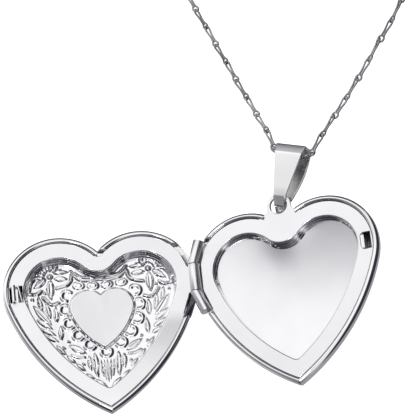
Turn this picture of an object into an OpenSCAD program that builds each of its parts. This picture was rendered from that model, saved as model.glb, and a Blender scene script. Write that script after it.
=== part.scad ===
// Heart locket with a strap bail and a hairpin-link chain, lying open on its back.
// Origin: on the flat back of the back half, on its line of symmetry, at mid height of the heart.

/* [Heart] */
// Width of each half
heart_w = 29; // [27:0.5:31]
// Radius of the two lobes
lobe_r = 8.4; // [8:0.1:9]
// Radius of the long sides
side_r = 30.5; // [28:0.5:34]
// Depth of the tip below the lobes' centres
tip_drop = 19.5; // [18.5:0.1:20.5]
// Height of the lobes' centres above the origin
lobe_y = 5.5; // [5:0.1:6]

/* [Halves] */
// Thickness of one half
half_t = 3.2; // [3:0.1:3.6]
// Thickness of the stamped sheet
sheet_t = 0.4; // [0.3:0.05:0.45]
// Radius of the rounded edge at the back
edge_r = 2.4; // [2.2:0.1:2.5]
// Width of the rolled rim
rim_w = 0.85; // [0.8:0.05:0.9]
// Height of the rolled rim above the flange
rim_rise = 0.3; // [0.25:0.05:0.35]
// Thickness of the flange
flange_t = 0.45; // [0.4:0.05:0.5]
// Distance from the outline to the edge of the heart window
window_inset = 3.25; // [3.1:0.05:3.4]
// Height of the stamped inner heart on the front shell
emboss_h = 0.25; // [0.15:0.05:0.3]
// Size of the stamped inner heart against the whole heart
emboss_size = 0.33; // [0.3:0.01:0.36]

/* [Hinge] */
// Angle between the open front half and the plane of the back half
open_fold = 22; // [18:1:26]
// Radius of the barrel and the ears
barrel_r = 0.85; // [0.8:0.05:0.9]
// Length of the middle barrel
barrel_len = 4.2; // [4:0.1:4.4]
// Length of each ear
ear_len = 3.6; // [3.4:0.1:3.8]
// Angle of each ear to the hinge axis
ear_tilt = 20; // [18:1:22]
// Radius of the hinge pin
pin_r = 0.35; // [0.3:0.01:0.4]
// Radial clearance of the pin in the barrel
pin_gap = 0.04; // [0.03:0.01:0.06]

/* [Latch] */
// Width of the catch slot along the rim
catch_w = 2.6; // [2.4:0.1:2.8]
// Height of the tongue above the flange
tongue_h = 1.4; // [1.3:0.1:1.5]

/* [Bail] */
// Radius of the hole in the tab
tab_hole_r = 1.25; // [1.2:0.05:1.3]
// Outer radius of the tab
tab_r = 1.85; // [1.8:0.05:1.95]
// Length of the bail from the tab hole's centre, inside its loop
bail_len = 9.15; // [8.9:0.05:9.3]
// Width of the bail at its top
bail_w = 4.8; // [4.4:0.1:5]
// Depth of the bail behind the tab's middle, inside its loop
bail_back = 1.9; // [1.7:0.05:2]
// Depth of the bail before the tab's middle, inside its loop
bail_front = 0.7; // [0.6:0.05:0.8]
// Thickness of the bail's strap
strap_t = 0.45; // [0.4:0.05:0.5]
// Turn of the bail away from the heart's axis
bail_turn = 20; // [18:1:22]

/* [Chain] */
// Diameter of the chain
chain_d = 1; // [0.9:0.1:1.1]
// Radius of the stored coil at the middle of its turns
coil_r = 6.1; // [5.8:0.1:6.3]
// Turns beside each other, and on each other, in the stored coil
coil_rows = 3; // [3:1:3]

/* [Hidden] */

$fn = 96;
far = 60;

polished = [0.80, 0.80, 0.82];
satin = [0.88, 0.88, 0.89];

// Heart outline: two lobe circles and two long side circles that touch them from outside.
lobe_x = heart_w / 2 - lobe_r;
notch_y = sqrt(lobe_r * lobe_r - lobe_x * lobe_x);
rise_r = side_r - lobe_r;
lobe_to_tip = norm([lobe_x, tip_drop]);
side_cos = (lobe_to_tip * lobe_to_tip + rise_r * rise_r - side_r * side_r)
    / (2 * rise_r * lobe_to_tip);
side_a = atan2(tip_drop, lobe_x) - acos(side_cos);
side_c = [lobe_x - rise_r * cos(side_a), -rise_r * sin(side_a)];

flange_top = half_t - rim_rise;
tab_z = flange_top - flange_t / 2;

// Hinge axis, parallel to Y, in the plane where the closed halves meet.
hinge_x = -(heart_w / 2 - 0.45);
hinge_z = half_t + 0.05;
hinge_span = 5.7;
ear_gap = 0.08;
ear_start = barrel_len / 2 + ear_gap;
pin_len = 2 * ear_start + 2.2;
ear_room = 0.2;
leaf_w = barrel_len - 0.2;
wall_cut_x = hinge_x + 0.45;
wall_cut_z = 1.2;

catch_x = heart_w / 2 - rim_w - 0.2;
catch_depth = 1.7;
tongue_t = 0.25;

tab_y = lobe_y + lobe_r;
tab_cut_w = 4.7;

coil_c = [14, 58];
coil_w = coil_rows * chain_d * 1.05;

// Route of the chain, by hand: from inside the bail out to each side, then down to the table.
left_route = [
    [2.4, 20.4, 2.6], [1.2, 21, 2.5], [0.3, 22.2, 2.4], [0.3, 23.6, 2.1], [-0.6, 26.1, 1.5],
    [-2.4, 30.2, 0.8], [-4.4, 35.1, 0.6], [-6.7, 41, 0.6], [-9, 46.9, 0.6], [-11.2, 52.6, 0.6],
];
right_route = [
    [2.4, 20.4, 2.6], [3.9, 19.9, 2.5], [5.4, 20.4, 2.4], [6.2, 21.7, 2.2], [8.4, 24.6, 1.6],
    [11, 27.9, 1], [14, 31.7, 0.6], [18, 36.8, 0.6], [22, 42, 0.6], [23.6, 46, 0.6],
    [23, 50, 0.6], [21.8, 54, 0.6], [21.1, 58, 0.6],
];

// Rings: the jump ring stands in the clasp's eye, the end ring lies flat against the coil.
ring_wire_r = 0.35;
jump_ring_r = 1.45;
end_ring_r = 1.9;
end_ring_side = 152;
end_ring_dist = coil_r + coil_w / 2 + end_ring_r + ring_wire_r;
end_ring_at = coil_c + end_ring_dist * [cos(end_ring_side), sin(end_ring_side)];

// Clasp, drawn along X from the eye, then laid down beside the chain.
clasp_at = [-12.2, 55];
clasp_turn = 111;
clasp_t = 2;
eye_r = 1.3;
eye_hole_r = 0.75;
eye_t = 0.6;
eye_z = 0.9;
ring_to_eye = 1.15;
claw_at = [7, 0];
claw_r = 2.3;
claw_hole_r = 1.2;
hook_tip_x = 6.7;
pivot_at = [3.6, 0.5];
rivet_r = 0.35;
rivet_gap = 0.04;
lever_t = 0.7;
lever_z = 0.55;
spring_t = 0.3;
spring_r = 0.6;

// A heart's area, drawn in from the outline by inset.
module heart(inset) {
    for (m = [0, 1]) mirror([m, 0]) {
        translate([lobe_x, 0]) circle(lobe_r - inset);
        intersection() {
            translate(side_c) circle(side_r - inset, $fn = 192);
            polygon([
                [0, 0], [lobe_x, 0], [lobe_x + far * cos(side_a), far * sin(side_a)],
                [far, -far], [0, -far],
            ]);
        }
    }
    if (inset > 0) difference() {
        polygon([[-lobe_x, 0], [lobe_x, 0], [0, notch_y]]);
        translate([0, notch_y]) circle(inset);
    }
}

// The profile of a disc of radius r whose lower edge is rounded.
module round_profile(r, edge, h) {
    square([r - edge, h]);
    translate([0, edge]) square([r, h - edge]);
    intersection() {
        translate([r - edge, edge]) circle(edge);
        square([r, edge]);
    }
}

// A heart-shaped block from z = low to z = high, with its lower edge rounded.
module heart_block(inset, low, high, edge) {
    h = high - low;
    translate([0, 0, low]) for (m = [0, 1]) mirror([m, 0, 0]) {
        translate([lobe_x, 0, 0]) rotate_extrude() round_profile(lobe_r - inset, edge, h);
        intersection() {
            translate(side_c) rotate_extrude($fn = 192) round_profile(side_r - inset, edge, h);
            linear_extrude(h) polygon([
                [0, 0], [lobe_x, 0], [lobe_x + far * cos(side_a), far * sin(side_a)],
                [far, -far], [0, -far],
            ]);
        }
    }
}

// The band of the rim that the hinge takes the place of.
module hinge_zone(inset) {
    intersection() {
        difference() {
            heart(-1);
            heart(inset);
        }
        translate([-far, -hinge_span]) square([far, 2 * hinge_span]);
    }
}

// Stamped shell of one half: rounded back, wall and rolled rim, notched for the hinge.
module shell(tab) {
    difference() {
        heart_block(0, 0, half_t, edge_r);
        heart_block(sheet_t, sheet_t, half_t - flange_t, edge_r - sheet_t);
        translate([0, 0, flange_top - flange_t]) linear_extrude(half_t) heart(rim_w);
        translate([0, 0, hinge_z - barrel_r - ear_room]) linear_extrude(half_t) hinge_zone(rim_w);
        translate([wall_cut_x - far, -hinge_span, wall_cut_z]) cube([far, 2 * hinge_span, half_t]);
        if (tab) translate([-tab_cut_w / 2, notch_y - 3, flange_top - flange_t])
            cube([tab_cut_w, 8, half_t]);
    }
}

// Flat flange with the heart window and its turned-down wall.
module frame() {
    linear_extrude_at(flange_top - flange_t, flange_t) difference() {
        heart(rim_w);
        heart(window_inset);
    }
    linear_extrude_at(sheet_t, flange_top - flange_t - sheet_t) difference() {
        heart(window_inset - sheet_t);
        heart(window_inset);
    }
}

module linear_extrude_at(z, h) {
    translate([0, 0, z]) linear_extrude(h) children();
}

// A rod along Y through the hinge axis.
module hinge_rod(r, len) {
    translate([hinge_x, len / 2, hinge_z]) rotate([90, 0, 0]) cylinder(h = len, r = r);
}

// One ear: a short rod that starts square to the barrel and follows the heart's outline.
module ear(side, r, len) {
    intersection() {
        translate([hinge_x, side * ear_start, hinge_z])
            rotate([-90 * side, 0, -side * ear_tilt])
            translate([0, 0, -r]) cylinder(h = len + r, r = r);
        translate([hinge_x - far / 2, side > 0 ? ear_start : -far - ear_start, 0])
            cube([far, far, far]);
    }
}

module ear_with_bore(side) {
    difference() {
        ear(side, barrel_r, ear_len);
        hinge_rod(pin_r, pin_len);
    }
}

// The plan of the room that an ear needs beside the front flange.
module ear_room_plan(side) {
    room = barrel_r + ear_room;
    slope = tan(ear_tilt);
    y0 = ear_start - 0.1;
    y1 = hinge_span + 0.3;
    polygon([
        [hinge_x - 3, side * y0], [hinge_x + room, side * y0],
        [hinge_x + room / cos(ear_tilt) + (y1 - ear_start) * slope, side * y1],
        [hinge_x - 3, side * y1],
    ]);
}

module tab_plan() {
    difference() {
        union() {
            translate([0, lobe_r]) circle(tab_r);
            translate([-tab_r, notch_y - 2]) square([2 * tab_r, lobe_r - notch_y + 2]);
        }
        translate([0, lobe_r]) circle(tab_hole_r);
    }
}

// The catch slot, with its inner corners rounded.
module catch_plan() {
    corner = 0.6;
    translate([catch_x - catch_depth + corner, -catch_w / 2])
        square([catch_depth - corner, catch_w]);
    translate([catch_x - catch_depth, -catch_w / 2 + corner])
        square([catch_depth, catch_w - 2 * corner]);
    for (s = [-1, 1]) translate([catch_x - catch_depth + corner, s * (catch_w / 2 - corner)])
        circle(corner);
}

// Puts the lobes' centres at their height above the origin.
module at_lobes() {
    translate([0, lobe_y, 0]) children();
}

// Moves the front half from the back half's place to its own, open about the hinge.
module opened() {
    translate([hinge_x, lobe_y, hinge_z]) rotate([0, open_fold, 0])
        translate([hinge_x, 0, -hinge_z]) mirror([1, 0, 0]) children();
}

module back_shell() {
    color(polished) at_lobes() shell(true);
}

module back_frame() {
    color(satin) at_lobes() difference() {
        union() {
            frame();
            linear_extrude_at(flange_top - flange_t, flange_t) intersection() {
                hinge_zone(rim_w);
                heart(0.45);
            }
            linear_extrude_at(flange_top - flange_t, flange_t) tab_plan();
        }
        hinge_rod(barrel_r + 0.15, 2 * ear_start);
        for (side = [-1, 1]) ear(side, barrel_r, ear_len);
        linear_extrude_at(flange_top - 2 * flange_t, 3 * flange_t) catch_plan();
    }
}

module hinge_ear_top() {
    color(polished) at_lobes() ear_with_bore(1);
}

module hinge_ear_bottom() {
    color(polished) at_lobes() ear_with_bore(-1);
}

module hinge_pin() {
    color(polished) at_lobes() hinge_rod(pin_r, pin_len);
}

module front_shell() {
    boss_y = -2.3;
    hollow_share = 0.87;
    color(polished) opened() difference() {
        union() {
            shell(false);
            translate([0, boss_y, sheet_t]) linear_extrude(emboss_h)
                scale(emboss_size) heart(0);
        }
        translate([0, boss_y, -1]) linear_extrude(emboss_h + 1)
            scale(hollow_share * emboss_size) heart(0);
    }
}

module front_frame() {
    color(satin) opened() difference() {
        union() {
            frame();
            linear_extrude_at(flange_top - flange_t, flange_t)
                translate([hinge_x, -leaf_w / 2]) square([1.5, leaf_w]);
        }
        hinge_rod(barrel_r, barrel_len + 1);
        for (side = [-1, 1])
            linear_extrude_at(flange_top - 2 * flange_t, 3 * flange_t) ear_room_plan(side);
    }
}

module hinge_barrel() {
    color(polished) at_lobes() difference() {
        hinge_rod(barrel_r, barrel_len);
        hinge_rod(pin_r + pin_gap, barrel_len + 1);
    }
}

// Foot on the flange and a standing blade with a small ridge along its outer side.
module latch_tongue() {
    blade_x = catch_x - 0.1 - tongue_t;
    blade_w = catch_w - 0.5;
    foot = 1.9;
    color(satin) opened() translate([0, -blade_w / 2, flange_top]) {
        translate([blade_x - foot, 0, 0]) cube([foot + tongue_t, blade_w, tongue_t]);
        translate([blade_x - tongue_t / 2, 0, 0]) cube([tongue_t, blade_w, tongue_h]);
        translate([blade_x + tongue_t / 2 - 0.05, 0, tongue_h - 0.25])
            rotate([-90, 0, 0]) cylinder(h = blade_w, r = 0.12);
    }
}

function unit(v) = v / norm(v);

// A convex outline, drawn counter-clockwise, grown by grow on every side.
function grown(points, grow) = let(n = len(points)) [
    for (i = [0:n - 1]) let(
        p = points[i],
        before = unit(p - points[(i + n - 1) % n]),
        after = unit(points[(i + 1) % n] - p),
        out = [before.y + after.y, -before.x - after.x]
    ) p + grow * out / (1 + before * after)
];

// Side view of the inside of the bail's loop: X is its length, Y its depth.
bail_loop = [
    [0.95, -0.9], [1.8, -1.6], [bail_len - 0.25, -bail_back], [bail_len, 0.3 - bail_back],
    [bail_len - 0.5, bail_front - 0.35], [bail_len - 0.85, bail_front],
    [1.4, bail_front - 0.35], [0.95, 0],
];

// One strap folded round: through the tab's hole, up both sides and over the chain.
module bail() {
    neck = 0.55;
    shoulder = 1.1;
    color(polished) at_bail() intersection() {
        rotate([90, 0, 90]) translate([0, 0, -bail_w]) linear_extrude(2 * bail_w)
            difference() {
                polygon(grown(bail_loop, strap_t));
                polygon(bail_loop);
            }
        translate([0, 0, -far / 2]) linear_extrude(far) polygon([
            [-neck, -1], [neck, -1], [neck, 0.95], [shoulder, 1.6], [bail_w / 2, bail_len + strap_t],
            [bail_w / 2, far], [-bail_w / 2, far], [-bail_w / 2, bail_len + strap_t],
            [-shoulder, 1.6], [-neck, 0.95],
        ]);
    }
}

// From the bail's own frame, Y along it from the tab hole, to its place.
module at_bail() {
    translate([0, tab_y, tab_z]) rotate([0, 0, -bail_turn]) children();
}

// Points of a smooth curve through a route, with steps points for each stretch.
function smooth(route, steps) = let(n = len(route)) [
    for (i = [0:n - 2], k = [0:steps - 1]) let(
        a = route[max(i - 1, 0)], b = route[i], c = route[i + 1], d = route[min(i + 2, n - 1)],
        t = k / steps
    ) 0.5 * (2 * b + (c - a) * t + (2 * a - 5 * b + 4 * c - d) * t * t
        + (3 * b - a - 3 * c + d) * t * t * t),
    route[n - 1],
];

function ring_at(path, i, r, sides) = let(
    n = len(path),
    along = unit(path[min(i + 1, n - 1)] - path[max(i - 1, 0)]),
    across = unit(cross(along, [0, 0, 1])),
    up = cross(across, along)
) [for (k = [0:sides - 1]) path[i] + r * (cos(360 * k / sides) * across + sin(360 * k / sides) * up)];

// A plain round tube swept along a route.
module swept_tube(route, r, steps) {
    sides = 8;
    path = smooth(route, steps);
    n = len(path);
    points = [for (i = [0:n - 1]) each ring_at(path, i, r, sides)];
    walls = [for (i = [0:n - 2], k = [0:sides - 1]) let(j = (k + 1) % sides)
        [i * sides + k, i * sides + j, (i + 1) * sides + j, (i + 1) * sides + k]];
    start = [[for (k = [sides - 1:-1:0]) k]];
    end = [[for (k = [0:sides - 1]) (n - 1) * sides + k]];
    polyhedron(points, concat(start, walls, end));
}

module chain_left() {
    color(polished) swept_tube(left_route, chain_d / 2, 2);
}

module chain_right() {
    color(polished) swept_tube(right_route, chain_d / 2, 2);
}

module chain_coil() {
    color(polished) translate([coil_c.x, coil_c.y, 0]) rotate_extrude()
        translate([coil_r - coil_w / 2, 0]) square([coil_w, coil_w]);
}

module wire_ring(r) {
    rotate_extrude() translate([r, 0]) circle(ring_wire_r, $fn = 32);
}

module jump_ring() {
    color(polished) at_clasp() translate([-ring_to_eye, 0, jump_ring_r + ring_wire_r])
        rotate([90, 0, 0]) wire_ring(jump_ring_r);
}

module end_ring() {
    color(polished) translate([end_ring_at.x, end_ring_at.y, ring_wire_r]) wire_ring(end_ring_r);
}

// From the clasp's own frame, eye at the origin and claw along X, to its place on the table.
module at_clasp() {
    translate([clasp_at.x, clasp_at.y, 0]) rotate([0, 0, clasp_turn]) children();
}

// The claw's outline, with its hook open on the lever's side.
module claw_plan() {
    throat = 4.6;
    difference() {
        union() {
            polygon([[1.6, -1.1], [claw_at.x, -claw_r], [claw_at.x, 0], [throat, 1.5], [1.6, 1.2]]);
            translate(claw_at) circle(claw_r);
        }
        translate(claw_at) circle(claw_hole_r);
        translate([throat, 0]) square([hook_tip_x - throat, claw_r + 1]);
    }
}

// The lever's outline: hub, gate towards the hook's tip, and thumb tab.
module lever_plan() {
    reach = hook_tip_x - 0.3;
    translate(pivot_at) circle(0.75);
    polygon([
        [pivot_at.x, -0.2], [reach - 1, 0.75], [reach, 0.95], [reach, 1.65],
        [reach - 1.6, 1.7], [pivot_at.x, 1.25],
    ]);
    translate([pivot_at.x - 0.9, 0.9]) square([0.8, 1.7]);
}

module clasp_body() {
    slot_h = lever_t + spring_t + 0.15;
    color(polished) at_clasp() difference() {
        union() {
            linear_extrude(clasp_t) claw_plan();
            translate([0, 0, eye_z]) linear_extrude(eye_t) {
                circle(eye_r);
                translate([0, -0.9]) square([1.7, 1.8]);
            }
        }
        translate([0, 0, -1]) cylinder(h = clasp_t + 2, r = eye_hole_r);
        translate([2.1, -0.35, lever_z - 0.05]) cube([4, 4, slot_h]);
        translate([pivot_at.x, pivot_at.y, -1]) cylinder(h = clasp_t + 2, r = rivet_r);
    }
}

module clasp_lever() {
    color(polished) at_clasp() difference() {
        translate([0, 0, lever_z]) linear_extrude(lever_t) lever_plan();
        translate([pivot_at.x, pivot_at.y, -1])
            cylinder(h = clasp_t + 2, r = rivet_r + rivet_gap);
    }
}

module clasp_rivet() {
    color(polished) at_clasp() translate([pivot_at.x, pivot_at.y, 0])
        cylinder(h = clasp_t, r = rivet_r);
}

// Torsion spring: a small coil round the rivet, between the lever and the cheek.
module clasp_spring() {
    color(polished) at_clasp() translate([pivot_at.x, pivot_at.y, lever_z + lever_t + 0.05])
        difference() {
            cylinder(h = spring_t, r = spring_r);
            translate([0, 0, -1]) cylinder(h = spring_t + 2, r = rivet_r + rivet_gap);
        }
}

back_shell();
back_frame();
hinge_ear_top();
hinge_ear_bottom();
hinge_pin();
front_shell();
front_frame();
hinge_barrel();
latch_tongue();
bail();
chain_left();
chain_right();
chain_coil();
jump_ring();
end_ring();
clasp_body();
clasp_lever();
clasp_rivet();
clasp_spring();
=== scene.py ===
"""The looks of an open heart locket on its hairpin chain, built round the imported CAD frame."""

import math
import random

import bmesh
import bpy
import numpy as np
from mathutils import Matrix, Vector
from mathutils.geometry import tessellate_polygon


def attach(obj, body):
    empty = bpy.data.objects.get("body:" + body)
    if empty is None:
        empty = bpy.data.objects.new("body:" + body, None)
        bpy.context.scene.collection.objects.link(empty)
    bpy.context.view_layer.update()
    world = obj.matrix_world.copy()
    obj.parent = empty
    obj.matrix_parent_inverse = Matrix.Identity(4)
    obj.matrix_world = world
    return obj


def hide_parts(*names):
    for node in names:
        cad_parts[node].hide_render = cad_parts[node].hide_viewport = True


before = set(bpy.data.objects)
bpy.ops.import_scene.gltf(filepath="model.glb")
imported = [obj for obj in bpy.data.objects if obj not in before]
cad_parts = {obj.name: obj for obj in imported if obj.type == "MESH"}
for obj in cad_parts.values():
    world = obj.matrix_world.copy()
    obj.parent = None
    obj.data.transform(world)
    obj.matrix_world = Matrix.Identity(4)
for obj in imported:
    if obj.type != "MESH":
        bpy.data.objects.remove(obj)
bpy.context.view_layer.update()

# A millimetre in metres, the distance at which points are joined, and the seed of the links' rolls.
MM = 0.001
WELD = 1e-7
SEED = 7

# The heart, in millimetres, with its lobes' centres on the line y = 0 of its own frame.
HEART_W = 29.0
LOBE_R = 8.4
SIDE_R = 30.5
TIP_DROP = 19.5
LOBE_Y = 5.5
LOBE_X = HEART_W / 2 - LOBE_R
NOTCH_Y = math.sqrt(LOBE_R**2 - LOBE_X**2)
RISE_R = SIDE_R - LOBE_R
LOBE_TO_TIP = math.hypot(LOBE_X, TIP_DROP)
SIDE_COS = (LOBE_TO_TIP**2 + RISE_R**2 - SIDE_R**2) / (2 * RISE_R * LOBE_TO_TIP)
SIDE_A = math.atan2(TIP_DROP, LOBE_X) - math.acos(SIDE_COS)
SIDE_C = (LOBE_X - RISE_R * math.cos(SIDE_A), -RISE_R * math.sin(SIDE_A))

# One half: heights and insets of its stamped shell and of its flange.
HALF_T = 3.2
SHEET_T = 0.4
EDGE_R = 2.4
RIM_W = 0.85
FLANGE_TOP = 2.9
FLANGE_T = 0.45
FLANGE_INSET = RIM_W + 0.07
WINDOW_INSET = 3.25
OPEN_FOLD = math.radians(22)

# The stamped relief: its raised heart's middle and size, and the width of the shapes' slopes.
BOSS_Y = -2.3
BOSS_SIZE = 0.34
SLOPE = 0.24

# The hinge: its axis, the half of its length, the barrel, and the ears that lean away from it.
HINGE_X = -14.05
HINGE_Z = 3.25
HINGE_SPAN = 5.7
BARREL_R = 0.85
BARREL_LEN = 4.2
EAR_START = 2.18
EAR_LEN = 3.6
EAR_TILT = math.radians(20)
EAR_GAP = 1.05

# The catch slot and the latch, opposite the hinge.
CATCH_X = 13.45
CATCH_W = 2.6
CATCH_DEPTH = 1.7

# The drilled tab at the notch.
TAB_R = 1.85
TAB_HOLE_R = 1.25
TAB_Z = 2.675

# The bail: its reach from the tab's hole, its width at the top, and where its two sides lie.
BAIL_LEN = 9.15
BAIL_W = 4.8
BAIL_BACK = 1.9
BAIL_FRONT = 0.7
STRAP_T = 0.45
BAIL_TURN = math.radians(20)

# The chain's route, in metres, as part.scad has it.
LEFT_ROUTE = [
    (.0024, .0204, .0026), (.0012, .021, .0025), (.0003, .0222, .0024), (.0003, .0236, .0021),
    (-.0006, .0261, .0015), (-.0024, .0302, .0008), (-.0044, .0351, .0006),
    (-.0067, .041, .0006), (-.009, .0469, .0006), (-.0112, .0526, .0006),
]
RIGHT_ROUTE = [
    (.0024, .0204, .0026), (.0039, .0199, .0025), (.0054, .0204, .0024), (.0062, .0217, .0022),
    (.0084, .0246, .0016), (.011, .0279, .001), (.014, .0317, .0006), (.018, .0368, .0006),
    (.022, .042, .0006), (.0236, .046, .0006), (.023, .05, .0006), (.0218, .054, .0006),
    (.0211, .058, .0006),
]
LINK_PITCH = 0.0034
FIRST_LINK = 0.0002
COIL_CENTRE = (.014, .058)
COIL_RADII = (.00715, .0061, .00505)
COIL_HEIGHTS = (.00055, .0016, .00265)


# ---------------------------------------------------------------- camera, light and floor

def make_camera():
    """The photograph's viewpoint: 0.4 m away, from below and to the right of the heart."""
    right = Vector((0.9387, -0.1125, -0.3258)).normalized()
    back = Vector((0.2715, -0.3410, 0.9000)).normalized()
    up = back.cross(right)
    distance = 0.4
    focal_px = 2725.6
    axis_px = (284.0, 257.8)
    frame_px = 416
    eye = Vector((0, LOBE_Y * MM, HALF_T * MM)) + back * distance
    aim = -back + right * (frame_px / 2 - axis_px[0]) / focal_px
    aim = aim - up * (frame_px / 2 - axis_px[1]) / focal_px
    forward = aim.normalized()
    side = forward.cross(up).normalized()
    top = side.cross(forward)
    data = bpy.data.cameras.new("camera")
    data.sensor_width = 36
    data.lens = data.sensor_width * focal_px / frame_px
    data.clip_start = 0.02
    data.clip_end = 5
    camera = bpy.data.objects.new("camera", data)
    turn = Matrix((side, top, -forward)).transposed().to_4x4()
    camera.matrix_world = Matrix.Translation(eye) @ turn
    bpy.context.scene.collection.objects.link(camera)
    bpy.context.scene.camera = camera


def screen(tree, coords, towards, start, full, left):
    """The share of light past a dark screen: from 1, where it starts, to left, where it is full."""
    dot = tree.nodes.new("ShaderNodeVectorMath")
    dot.operation = "DOT_PRODUCT"
    tree.links.new(coords.outputs["Generated"], dot.inputs[0])
    dot.inputs[1].default_value = Vector(towards).normalized()
    ramp = tree.nodes.new("ShaderNodeMapRange")
    ramp.interpolation_type = "SMOOTHSTEP"
    ramp.inputs["From Min"].default_value = start
    ramp.inputs["From Max"].default_value = full
    ramp.inputs["To Min"].default_value = 1.0
    ramp.inputs["To Max"].default_value = left
    tree.links.new(dot.outputs["Value"], ramp.inputs["Value"])
    return ramp.outputs["Result"]


def make_world():
    """A white studio with dark screens: right of the locket, before, behind, up left and below."""
    world = bpy.data.worlds.new("studio")
    bpy.context.scene.world = world
    world.use_nodes = True
    tree = world.node_tree
    tree.nodes.clear()
    out = tree.nodes.new("ShaderNodeOutputWorld")
    background = tree.nodes.new("ShaderNodeBackground")
    background.inputs["Strength"].default_value = 1.0
    tree.links.new(background.outputs[0], out.inputs[0])
    coords = tree.nodes.new("ShaderNodeTexCoord")
    # Each screen's direction, where it starts and is full (as a cosine), and the light left there.
    shades = [screen(tree, coords, *placed) for placed in (
        ((1.0, 0.0, -0.05), 0.50, 0.64, 0.04),
        ((-0.2, -0.95, 0.1), 0.60, 0.82, 0.16),
        ((-0.15, 0.98, -0.1), 0.60, 0.80, 0.12),
        ((-0.55, -0.5, 0.65), 0.55, 0.87, 0.27),
        ((0.0, 0.0, -1.0), 0.10, 0.5, 0.36),
    )]
    shade = shades[0]
    for other in shades[1:]:
        product = tree.nodes.new("ShaderNodeMath")
        product.operation = "MULTIPLY"
        tree.links.new(shade, product.inputs[0])
        tree.links.new(other, product.inputs[1])
        shade = product.outputs[0]
    tint = tree.nodes.new("ShaderNodeValToRGB")
    tint.color_ramp.elements[0].color = (0.0, 0.0, 0.01, 1)
    tint.color_ramp.elements[1].color = (1.0, 1.0, 1.0, 1)
    middle = tint.color_ramp.elements.new(0.5)
    middle.color = (0.49, 0.485, 0.515, 1)
    tree.links.new(shade, tint.inputs["Fac"])
    tree.links.new(tint.outputs["Color"], background.inputs["Color"])


def make_lights():
    """Two large soft boxes that lift the metal and the floor, and a small one for glints."""
    target = Vector((0, 0.01, 0))
    for name, place, size, power in (
        ("box_back", (-0.25, 0.45, 0.55), 0.5, 0.15),
        ("box_top", (0.1, 0.1, 0.8), 0.6, 0.15),
        ("box_glint", (0.02, -0.2, 0.55), 0.09, 0.2),
    ):
        data = bpy.data.lights.new(name, "AREA")
        data.size = size
        data.energy = power
        light = bpy.data.objects.new(name, data)
        light.location = place
        aim = target - Vector(place)
        light.rotation_mode = "QUATERNION"
        light.rotation_quaternion = aim.to_track_quat("-Z", "Y")
        bpy.context.scene.collection.objects.link(light)


def make_floor():
    """White paper that glows a little and doesn't show in the metal."""
    data = bpy.data.meshes.new("floor")
    reach = 3.0
    below = 0.00002
    grey = 0.93
    glow = 0.9
    corners = [(-reach, -reach, 0), (reach, -reach, 0), (reach, reach, 0), (-reach, reach, 0)]
    data.from_pydata(corners, [], [(0, 1, 2, 3)])
    floor = bpy.data.objects.new("floor", data)
    floor.location.z = -below
    floor.visible_glossy = False
    bpy.context.scene.collection.objects.link(floor)
    material = bpy.data.materials.new("paper")
    material.use_nodes = True
    nodes = material.node_tree.nodes
    shader = nodes["Principled BSDF"]
    shader.inputs["Base Color"].default_value = (grey, grey, grey, 1)
    shader.inputs["Roughness"].default_value = 0.9
    shader.inputs["Specular IOR Level"].default_value = 0.0
    shader.inputs["Emission Color"].default_value = (1, 1, 1, 1)
    shader.inputs["Emission Strength"].default_value = glow
    data.materials.append(material)


# ---------------------------------------------------------------- materials

def metal(name, dark, light, rough, grain_scale, stretch=(1, 1, 1), bump=0.02):
    """A steel: its tone drifts slowly, and a fine grain, stretched if brushed, varies its gloss."""
    cloud_scale = 220.0
    bump_depth = 0.00002
    material = bpy.data.materials.new(name)
    material.use_nodes = True
    tree = material.node_tree
    shader = tree.nodes["Principled BSDF"]
    shader.inputs["Metallic"].default_value = 1.0
    coords = tree.nodes.new("ShaderNodeTexCoord")
    mapping = tree.nodes.new("ShaderNodeMapping")
    mapping.inputs["Scale"].default_value = stretch
    tree.links.new(coords.outputs["Object"], mapping.inputs["Vector"])
    grain = tree.nodes.new("ShaderNodeTexNoise")
    grain.inputs["Scale"].default_value = grain_scale
    grain.inputs["Detail"].default_value = 4.0
    tree.links.new(mapping.outputs["Vector"], grain.inputs["Vector"])
    cloud = tree.nodes.new("ShaderNodeTexNoise")
    cloud.inputs["Scale"].default_value = cloud_scale
    cloud.inputs["Detail"].default_value = 2.0
    tree.links.new(coords.outputs["Object"], cloud.inputs["Vector"])
    tone = tree.nodes.new("ShaderNodeValToRGB")
    tone.color_ramp.elements[0].position = 0.35
    tone.color_ramp.elements[0].color = (*dark, 1)
    tone.color_ramp.elements[1].position = 0.65
    tone.color_ramp.elements[1].color = (*light, 1)
    tree.links.new(cloud.outputs["Fac"], tone.inputs["Fac"])
    tree.links.new(tone.outputs["Color"], shader.inputs["Base Color"])
    wear = tree.nodes.new("ShaderNodeMapRange")
    wear.inputs["From Min"].default_value = 0.3
    wear.inputs["From Max"].default_value = 0.7
    wear.inputs["To Min"].default_value = rough[0]
    wear.inputs["To Max"].default_value = rough[1]
    tree.links.new(grain.outputs["Fac"], wear.inputs["Value"])
    tree.links.new(wear.outputs["Result"], shader.inputs["Roughness"])
    relief = tree.nodes.new("ShaderNodeBump")
    relief.inputs["Strength"].default_value = bump
    relief.inputs["Distance"].default_value = bump_depth
    tree.links.new(grain.outputs["Fac"], relief.inputs["Height"])
    tree.links.new(relief.outputs["Normal"], shader.inputs["Normal"])
    return material


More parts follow.
